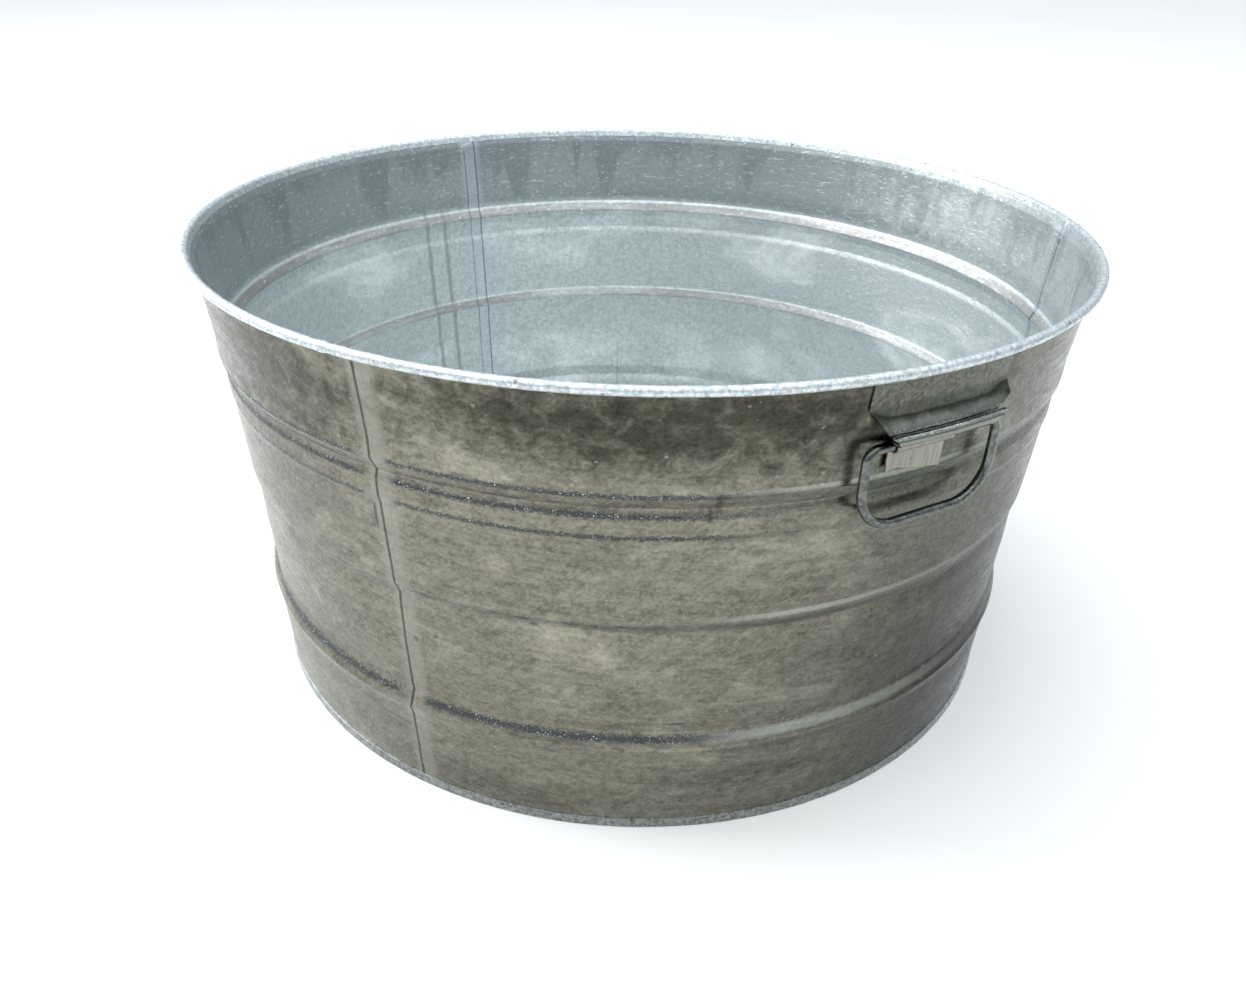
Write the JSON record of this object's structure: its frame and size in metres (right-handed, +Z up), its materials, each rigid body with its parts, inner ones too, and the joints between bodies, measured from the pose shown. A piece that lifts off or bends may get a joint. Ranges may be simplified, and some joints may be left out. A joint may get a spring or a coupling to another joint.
{
  "type": "wash tub",
  "caption": "Round galvanized steel wash tub with a rolled rim, beaded flared wall, flat folded bottom and drop handles under hooded ears.",
  "frame": {"origin": "centre of the base, on the floor", "axes": "+Z up along the tub's axis; +X out through handle A, -X through handle B"},
  "size_m": [0.5852, 0.58, 0.292],
  "materials": {
    "galvanized_wall": "hot-dipped zinc, satin, mottled with rolling marks and drips",
    "galvanized_bottom": "hot-dipped zinc, satin",
    "steel_wire": "drawn steel wire inside the rolled rim",
    "galvanized_fittings": "hot-dipped zinc, dull, darker than the wall",
    "strap_sheet": "smooth zinc-coated sheet with a faint upright grain",
    "bail_wire": "hot-dipped zinc on round wire"
  },
  "bodies": {
    "tub": {"wall_sheet_a": "galvanized_wall", "wall_sheet_b": "galvanized_wall", "wall_sheet_c": "galvanized_wall", "rim_wire": "steel_wire", "bottom_pan": "galvanized_bottom", "hood_a": "galvanized_fittings", "strap_a": "strap_sheet", "hood_b": "galvanized_fittings", "strap_b": "strap_sheet"},
    "bail_a": {"bail_a": "bail_wire"},
    "bail_b": {"bail_b": "bail_wire"}
  },
  "joints": [
    {"name": "bail_a_swing", "type": "hinge", "parent": "tub", "child": "bail_a", "pos_m": [0.2821, 0, 0.2511], "axis": [0, -1, 0], "range_deg": [-5, 130]},
    {"name": "bail_b_swing", "type": "hinge", "parent": "tub", "child": "bail_b", "pos_m": [-0.2821, 0, 0.2511], "axis": [0, 1, 0], "range_deg": [-5, 130]}
  ]
}
